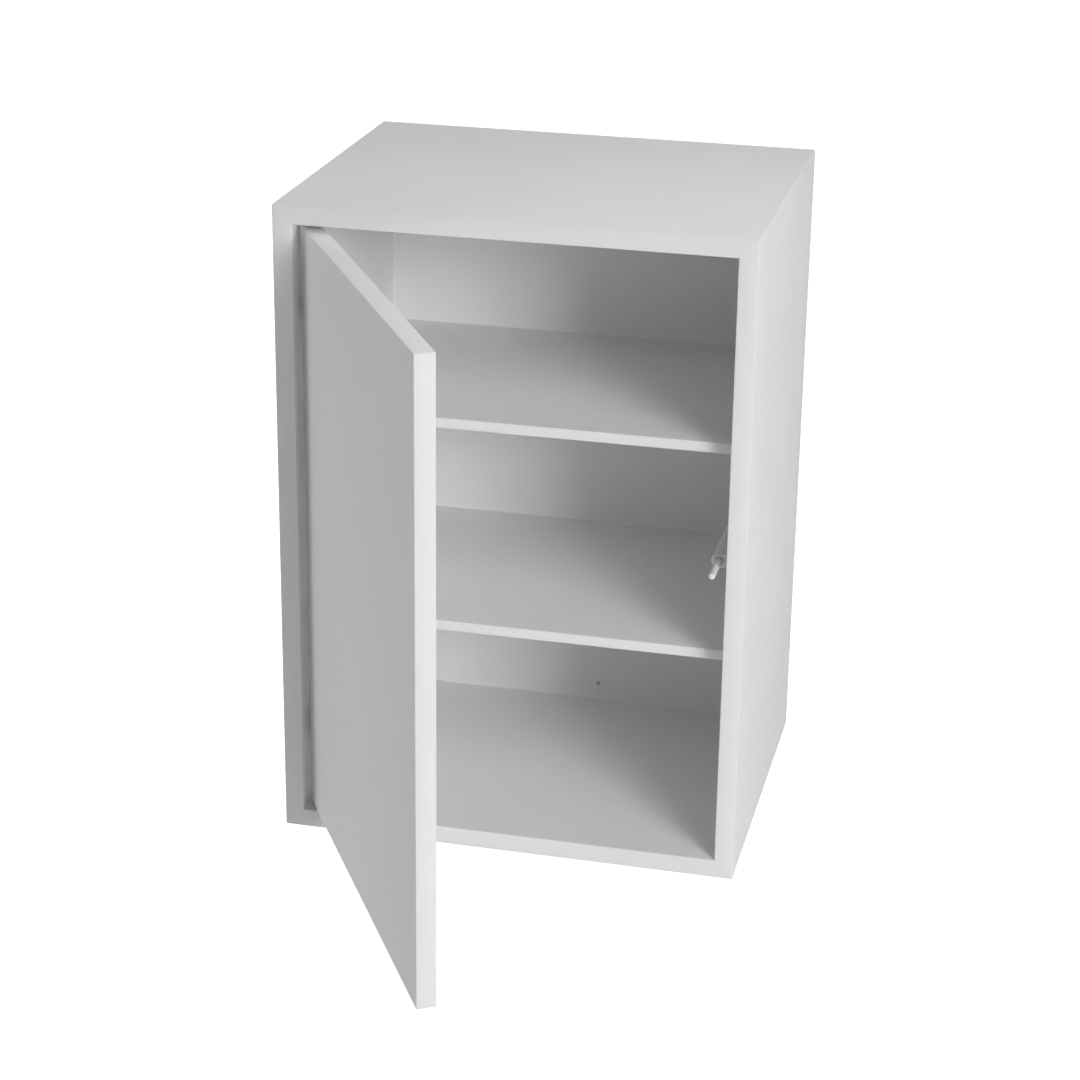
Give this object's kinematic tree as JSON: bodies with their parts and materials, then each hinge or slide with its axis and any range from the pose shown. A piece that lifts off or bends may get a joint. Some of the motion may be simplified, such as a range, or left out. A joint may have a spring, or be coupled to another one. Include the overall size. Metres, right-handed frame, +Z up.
{
  "type": "hanging wall cabinet",
  "caption": "Wall-hung box cabinet with an inset side-hinged door, fixed shelves, concealed hinges, a push latch and a bevelled hanging cleat.",
  "frame": {"origin": "middle of the wall cleat's two-screw line, on the wall plane", "axes": "+X to the right seen from the front, +Y back into the wall, +Z up"},
  "size_m": [0.44, 0.6753, 0.62],
  "materials": {
    "lacquered_board": "satin white lacquer on fibreboard",
    "beech": "bare wood",
    "nickel_steel": "satin nickel plate",
    "zinc_steel": "bright zinc plate",
    "grey_plastic": "fine matte",
    "white_plastic": "smooth"
  },
  "bodies": {
    "case": {"left_side": "lacquered_board", "right_side": "lacquered_board", "top_board": "lacquered_board", "bottom_board": "lacquered_board", "back_panel": "lacquered_board", "upper_shelf": "lacquered_board", "lower_shelf": "lacquered_board", "corner_dowels": "beech", "shelf_dowels": "beech", "cabinet_cleat": "beech", "cleat_screws": "zinc_steel", "wall_cleat": "beech", "upper_hinge_arm": "nickel_steel", "upper_mounting_plate": "nickel_steel", "upper_plate_screws": "zinc_steel", "upper_arm_screws": "zinc_steel", "lower_hinge_arm": "nickel_steel", "lower_mounting_plate": "nickel_steel", "lower_plate_screws": "zinc_steel", "lower_arm_screws": "zinc_steel", "latch_adapter": "grey_plastic", "latch_screws": "zinc_steel", "latch_cartridge": "grey_plastic", "latch_collar": "grey_plastic", "latch_spring": "nickel_steel"},
    "door": {"door_panel": "lacquered_board", "upper_hinge_cup": "nickel_steel", "upper_cup_screws": "zinc_steel", "upper_hinge_pin": "nickel_steel", "lower_hinge_cup": "nickel_steel", "lower_cup_screws": "zinc_steel", "lower_hinge_pin": "nickel_steel", "strike_plate": "nickel_steel", "strike_screws": "zinc_steel"},
    "plunger": {"latch_plunger": "white_plastic", "latch_tip": "white_plastic"}
  },
  "joints": [
    {"name": "door_hinge", "type": "hinge", "parent": "case", "child": "door", "pos_m": [-0.1845, -0.3415, -0.22], "axis": [0, 0, -1], "range_deg": [-59.2, 35.8]},
    {"name": "plunger_slide", "type": "slide", "parent": "case", "child": "plunger", "axis": [0, 1, 0], "range_m": [-0.0198, 0.0316], "deforming": ["latch_spring"]}
  ],
  "couplings": [
    {"joint": "plunger_slide", "follows": "door_hinge", "m_per_rad": -0.030487}
  ]
}
